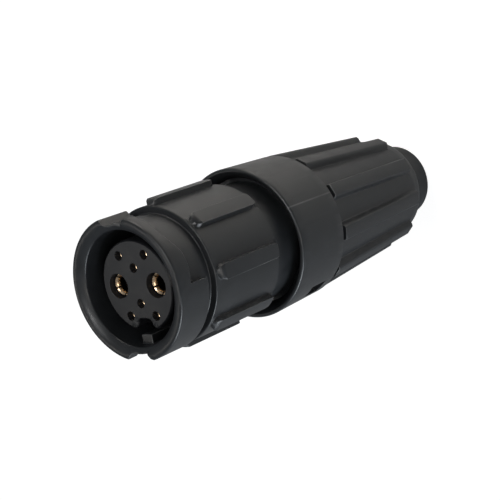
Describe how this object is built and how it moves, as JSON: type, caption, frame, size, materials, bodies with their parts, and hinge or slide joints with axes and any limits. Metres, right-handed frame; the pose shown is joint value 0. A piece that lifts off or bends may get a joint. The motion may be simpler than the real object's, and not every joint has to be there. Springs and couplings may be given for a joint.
{
  "type": "circular plug",
  "caption": "Straight round cable plug with a bayonet skirt, a keyed socket insert, a ribbed grip, a central band and a ridged gland nut.",
  "frame": {"origin": "centre of the cable end's face, on which the plug stands", "axes": "+Z along the plug's axis, out of the mating face; +Y towards the entry slot opposite the polarising key; +X to the right of it, seen when looking at the mating face"},
  "size_m": [0.026, 0.026, 0.0775],
  "materials": {
    "shell_plastic": "moulded satin",
    "insert_plastic": "moulded matt",
    "body_plastic": "moulded satin",
    "nut_plastic": "moulded satin",
    "cage_plastic": "moulded matt",
    "seal_rubber": "soft matt",
    "contact_metal": "plated",
    "clip_metal": "bright"
  },
  "bodies": {
    "root": {"front_shell": "shell_plastic", "contact_insert": "insert_plastic", "contact_retainer": "insert_plastic", "lock_ring": "insert_plastic", "body_sleeve": "body_plastic", "gland_nut": "nut_plastic", "clamp_cage": "cage_plastic", "thrust_washer": "cage_plastic", "interface_seal": "seal_rubber", "body_seal": "seal_rubber", "cable_grommet": "seal_rubber", "power_socket_1": "contact_metal", "power_socket_2": "contact_metal", "signal_socket_1": "contact_metal", "signal_socket_2": "contact_metal", "signal_socket_3": "contact_metal", "signal_socket_4": "contact_metal", "signal_socket_5": "contact_metal", "signal_socket_6": "contact_metal", "signal_clip_1": "clip_metal", "signal_clip_2": "clip_metal", "signal_clip_3": "clip_metal", "signal_clip_4": "clip_metal", "signal_clip_5": "clip_metal", "signal_clip_6": "clip_metal", "power_clip_1": "clip_metal", "power_clip_2": "clip_metal"}
  },
  "joints": []
}
